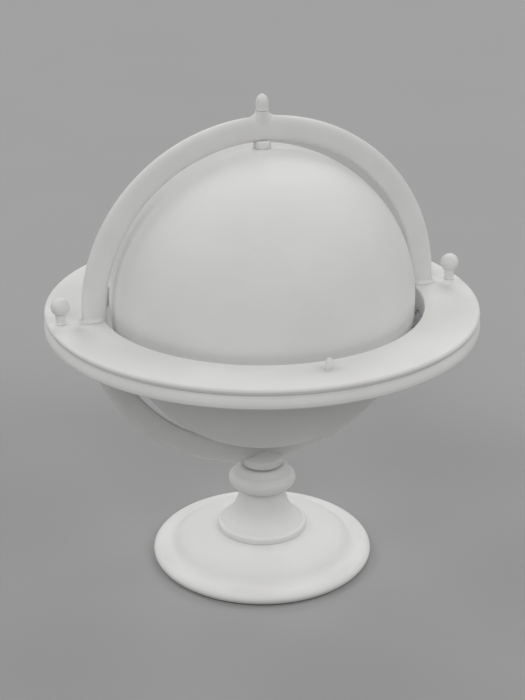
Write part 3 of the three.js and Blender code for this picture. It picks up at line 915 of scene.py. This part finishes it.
def add_horizon_plate():
    """The flat upper ring. Its upper edges are rounded, and its side leans in at the foot."""
    edge = 3.0
    softening = 1.5
    outline = [
        (HORIZON_INNER, PLATE_BOTTOM),
        *smooth([
            (PLATE_OUTER - 1.7, PLATE_BOTTOM), (PLATE_OUTER - 0.6, HORIZON_TOP - 5),
            (PLATE_OUTER, HORIZON_TOP - edge),
        ], 10)[:-1],
        *arc(PLATE_OUTER - edge, HORIZON_TOP - edge, edge, 0, 90, 16),
        *arc(HORIZON_INNER + softening, HORIZON_TOP - softening, softening, 90, 180, 8),
    ]
    peg_holes = []
    for node in ("marker_peg_front", "marker_peg_back"):
        at = middle_of(node)
        peg_holes.append(post(at.x, at.y, bottom_of(node) - GAP, HORIZON_TOP + 1, PEG_SHANK + GAP))
    whole = cut(turned(outline, 288), *side_cuts(HORIZON_TOP), *peg_holes)
    finished("horizon_plate", whole, "stand", "painted_wood", "ring_wood")


def add_horizon_moulding():
    """The lower ring. It is widest low down and draws in at the top, under the plate."""
    outer = MOULDING_OUTER
    low = MOULDING_BOTTOM
    high = MOULDING_TOP + 0.8 * GAP
    outline = [
        (HORIZON_INNER, low),
        *smooth([
            (outer - 1.7, low), (outer - 0.5, low + 0.7), (outer, low + 2.2), (outer, low + 5),
            (outer - 0.8, high - 4.6), (outer - 1.7, high - 2.2), (outer - 2.1, high),
        ], 48),
        (HORIZON_INNER, high),
    ]
    whole = cut(turned(outline, 288), *side_cuts(MOULDING_TOP))
    finished("horizon_moulding", whole, "stand", "painted_wood", "ring_wood")


# ------------------------------------------------------------------ brackets, screws and nuts

def ear_outline(side):
    """One ear, bounded by the ring's curves and two level ends."""
    inner, outer = RING_INNER + 3, RING_OUTER - 3
    low = bottom_of("bracket_left")
    high = MOULDING_BOTTOM - GAP - 0.5

    def curve(radius, steps=16):
        angles = [math.asin((height - CENTRE_Z) / radius) for height in (low, high)]
        turns = np.linspace(*angles, steps + 1)
        return [(side * radius * math.cos(a), CENTRE_Z + radius * math.sin(a)) for a in turns]

    outline = [*curve(outer), *reversed(curve(inner))]
    return eased(outline if side > 0 else outline[::-1], 2.2)


def add_bracket(name, side):
    """A forked plate with rounded corners and two ears that straddle the meridian ring."""
    thickness = 3.0
    half_width = corners("bracket_" + name)[1].y
    top = MOULDING_BOTTOM - GAP
    slot = RING_HALF + GAP
    inner_x = RING_INNER + 2.6
    fork_x = RING_OUTER + GAP
    outer_x = max(abs(corner.x) for corner in corners("bracket_" + name))
    plate = [
        (inner_x, slot), (fork_x, slot), (fork_x, -slot), (inner_x, -slot),
        (inner_x, -half_width), (outer_x, -half_width), (outer_x, half_width), (inner_x, half_width),
    ]
    if side < 0:
        plate = [(-x, y) for x, y in reversed(plate)]
    body = prism(eased(plate, 1.6), top - thickness, top, 0.4)
    ears = []
    for face in (-1, 1):
        low, high = sorted((face * slot, face * (slot + EAR)))
        ears.append(laid(prism(ear_outline(side), -high, -low, 0.4), TO_XZ))
    holes = [cross_hole(side, height) for height in SCREW_HEIGHTS.values()]
    clamp_hole = post(side * KNOB_AT, 0, top - 10, top + 1, CLAMP_HOLE)
    whole = cut(joined(body, *ears), clamp_hole, *holes)
    finished("bracket_" + name, whole, "stand", "steel", sharp=30)


def hex_nut(x, low, high, radius, hole):
    """A six-sided nut with chamfered corners and a countersunk thread hole."""
    chamfer = radius * (1 - math.cos(math.pi / 6)) * 0.9
    rise = chamfer * math.tan(math.radians(30)) * 1.4
    barrel = [
        (0, low),
        (radius - chamfer, low),
        (radius, low + rise),
        (radius, high - rise),
        (radius - chamfer, high),
        (0, high),
    ]
    sides = prism(hexagon(radius * 1.001), low - 1, high + 1)
    body = combined(turned(barrel, 48), [sides], "INTERSECT")
    countersink = turned([
        (0, low - 1), (hole + 1.4, low - 1), (hole, low + 0.4),
        (hole, high - 0.4), (hole + 1.4, high + 1), (0, high + 1),
    ], 32)
    return laid(cut(body, countersink), x=x)


def add_cross_screw(name, side, level, height):
    """A domed, slotted screw along Y, and the nut on its far end."""
    x = side * math.sqrt(RING_MIDDLE ** 2 - (CENTRE_Z - height) ** 2)
    screw = f"screw_{name}_{level}"
    nut = f"nut_{name}_{level}"
    head_base = -(RING_HALF + GAP + EAR) - GAP
    start = corners(screw)[0].y
    end = corners(screw)[1].y
    head_radius = 3.6
    nut_radius = 3.9
    slot_half = 0.45
    outline = [
        (0, start),
        *smooth([
            (0.8, start + 0.04), (2.0, start + 0.45), (3.0, start + 1.25), (head_radius, head_base),
        ], 12),
        (ROD, head_base),
        (ROD, end - 0.5),
        (ROD - 0.5, end),
        (0, end),
    ]
    slot_outline = [(-slot_half, -5), (slot_half, -5), (slot_half, 5), (-slot_half, 5)]
    slot = prism(slot_outline, start - 1, start + 1.0)
    body = cut(turned(outline, 40), slot)
    along_y = Matrix.Rotation(-math.pi / 2, 4, "X")
    tilt = Matrix.Rotation(math.radians(25 + 40 * side + height), 4, "Y")
    placed = laid(body, tilt @ along_y, x=x, z=height)
    finished(screw, placed, "stand", "steel", sharp=30)
    low, high = corners(nut)[0].y, corners(nut)[1].y
    shape = laid(hex_nut(0, low, high, nut_radius, ROD_HOLE), along_y, x=x, z=height)
    finished(nut, shape, "stand", "steel", sharp=24)


def add_clamp_nut(name, side):
    node = "clamp_nut_" + name
    radius = 5.0
    shape = hex_nut(side * KNOB_AT, bottom_of(node), top_of(node), radius, CLAMP_HOLE)
    finished(node, shape, "stand", "steel", sharp=24)


# ------------------------------------------------------------------ turned metal pieces

def add_clamp_knob(name, side):
    """A ball on a neck that tapers in from it, above a threaded shank."""
    node = "clamp_knob_" + name
    seat = HORIZON_TOP + GAP
    ball_z = top_of(node) - KNOB_RADIUS
    shank_bottom = bottom_of(node)
    neck = 4.7
    outline = [
        (0, shank_bottom),
        (CLAMP_SHANK - 0.5, shank_bottom),
        (CLAMP_SHANK, shank_bottom + 0.5),
        (CLAMP_SHANK, seat),
        (neck + 0.6, seat),
        *smooth([
            (neck + 0.5, seat + 0.5), (neck - 0.1, seat + 1.8), (neck, seat + 4.2),
            (5.6, ball_z - 7.4),
        ], 20),
        *arc(0, ball_z, KNOB_RADIUS, -50, 90, 26)[:-1],
        (0, ball_z + KNOB_RADIUS),
    ]
    mesh = laid(turned(eased(outline, 0.3), 64), x=side * KNOB_AT)
    finished(node, mesh, f"{name}_knob", "painted_metal")


def add_peg(node):
    """A small pointed peg on the horizon ring."""
    seat = HORIZON_TOP + GAP
    tip = top_of(node)
    outline = [
        (0, bottom_of(node)),
        (PEG_SHANK, bottom_of(node)),
        (PEG_SHANK, seat),
        (4.0, seat),
        *smooth([
            (3.9, seat + 0.5), (3.75, seat + 1.2), (4.25, seat + 3.6), (3.9, seat + 6.2),
            (2.9, seat + 9.2), (1.6, tip - 0.9), (0.7, tip - 0.15),
        ], 30),
        (0, tip),
    ]
    at = middle_of(node)
    mesh = laid(turned(eased(outline, 0.3), 48), x=at.x, y=at.y)
    finished(node, mesh, "stand", "painted_metal")


def add_finial():
    """A bullet-shaped knob with a blind hole for the top of the pivot."""
    bottom = bottom_of("finial")
    tip = top_of("finial")
    radius = reach_of("finial")
    hole_top = top_of("top_pivot") + GAP
    outline = [
        (0, hole_top),
        (ROD_HOLE, hole_top),
        (ROD_HOLE, bottom),
        (radius, bottom),
        *smooth([
            (radius - 0.05, bottom + 0.6), (radius - 0.15, bottom + 3.4), (radius - 0.02, bottom + 6.4),
            (radius - 0.35, bottom + 9.8), (radius - 1.6, bottom + 12.8), (radius - 3.9, tip - 0.9),
            (0.8, tip - 0.04),
        ], 48),
        (0, tip),
    ]
    finished("finial", turned(eased(outline, 0.3), 80), "stand", "painted_metal", sharp=40)


def add_top_collar():
    """A skirted collar that covers the ball's bush. Its shoulders hug the crown."""
    radius = reach_of("top_collar")
    low, high = bottom_of("top_collar"), top_of("top_collar")
    over_bush = top_of("north_bush") + GAP
    recess = 7.4
    shoulder = high + 1.9
    outline = [
        (ROD_HOLE, over_bush),
        (recess, over_bush),
        (recess, low),
        (radius, low),
        *smooth([
            (radius, low + 1), (radius, high - 1.4), (radius - 0.6, high + 0.8), (radius - 2, shoulder),
        ], 16),
        (ROD_HOLE, shoulder),
    ]
    whole = cut(turned(eased(outline, 0.3), 96), ring_groove(90))
    finished("top_collar", whole, "stand", "painted_metal")


def add_bottom_bearing():
    """The pin that the ball stands on, and the brass washer on the pin's collar."""
    low, high = bottom_of("thrust_washer"), top_of("thrust_washer")
    radius = reach_of("thrust_washer")
    washer = [(ROD_HOLE, low), (radius, low), (radius, high), (ROD_HOLE, high)]
    finished("thrust_washer", turned(eased(washer, 0.35 * (high - low)), 80), "stand", "brass")
    collar_bottom = CENTRE_Z - RING_INNER + 2 * GAP
    collar_top = low - GAP
    pin = [
        (0, bottom_of("bottom_pivot")),
        (ROD, bottom_of("bottom_pivot")),
        (ROD, collar_bottom),
        (radius, collar_bottom),
        (radius, collar_top),
        (ROD, collar_top),
        (ROD, top_of("bottom_pivot")),
        (0, top_of("bottom_pivot")),
    ]
    finished("bottom_pivot", turned(eased(pin, 0.3), 64), "stand", "steel")


# ------------------------------------------------------------------ ball

def mirrored(outline):
    """The same outline seen upside down, still running anticlockwise."""
    return [(radius, -height) for radius, height in reversed(outline)]


def add_ball():
    """Two thin shells that meet at the equator, and a flanged bush at each pole."""
    wall = 3.0
    hole = 5 + GAP
    joint = 0.03
    inner = BALL_RADIUS - wall
    crown = math.degrees(math.acos(hole / BALL_RADIUS))
    inner_crown = math.degrees(math.acos(hole / inner))
    foot = math.degrees(joint / 2 / BALL_RADIUS)
    shell = [
        *arc(0, 0, BALL_RADIUS, foot, crown, 72),
        *arc(0, 0, inner, inner_crown, foot, 24),
    ]
    face = BALL_RADIUS + GAP
    flange = 7.0
    bush_end = bottom_of("north_bush") - CENTRE_Z
    flange_top = top_of("north_bush") - CENTRE_Z
    bush = [
        (ROD_HOLE, bush_end),
        (hole - GAP, bush_end),
        (hole - GAP, face),
        (flange, face),
        (flange, flange_top),
        (ROD_HOLE, flange_top),
    ]
    for pole, facing in (("north", list), ("south", mirrored)):
        finished(f"{pole}_shell", turned(facing(shell), 224, CENTRE_Z), "ball", "globe_skin")
        finished(f"{pole}_bush", turned(facing(eased(bush, 0.35)), 64, CENTRE_Z), "ball", "brass")


# ------------------------------------------------------------------ build

add_felt_pad()
add_base()
add_column()
add_knop()
add_head()
add_cradle()
add_arch()
add_horizon_plate()
add_horizon_moulding()
for side_name, side_sign in SIDES.items():
    add_bracket(side_name, side_sign)
    for screw_level, screw_height in SCREW_HEIGHTS.items():
        add_cross_screw(side_name, side_sign, screw_level, screw_height)
    add_clamp_nut(side_name, side_sign)
    add_clamp_knob(side_name, side_sign)
add_peg("marker_peg_front")
add_peg("marker_peg_back")
add_finial()
add_top_collar()
add_bottom_bearing()
add_ball()

# Pieces inside the object keep their CAD shape.
INSIDE = {
    "ballast_disc": "iron",
    "tie_rod": "steel",
    "tie_nut": "steel",
    "tie_washer": "steel",
    "top_pivot": "steel",
    "north_block": "bare_wood",
    "south_block": "bare_wood",
    "equator_band": "bare_wood",
    "spine": "bare_wood",
}
for inside_node, inside_slot in INSIDE.items():
    inside_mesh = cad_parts[inside_node].data
    inside_mesh.materials.clear()
    inside_mesh.materials.append(MATERIALS[inside_slot])

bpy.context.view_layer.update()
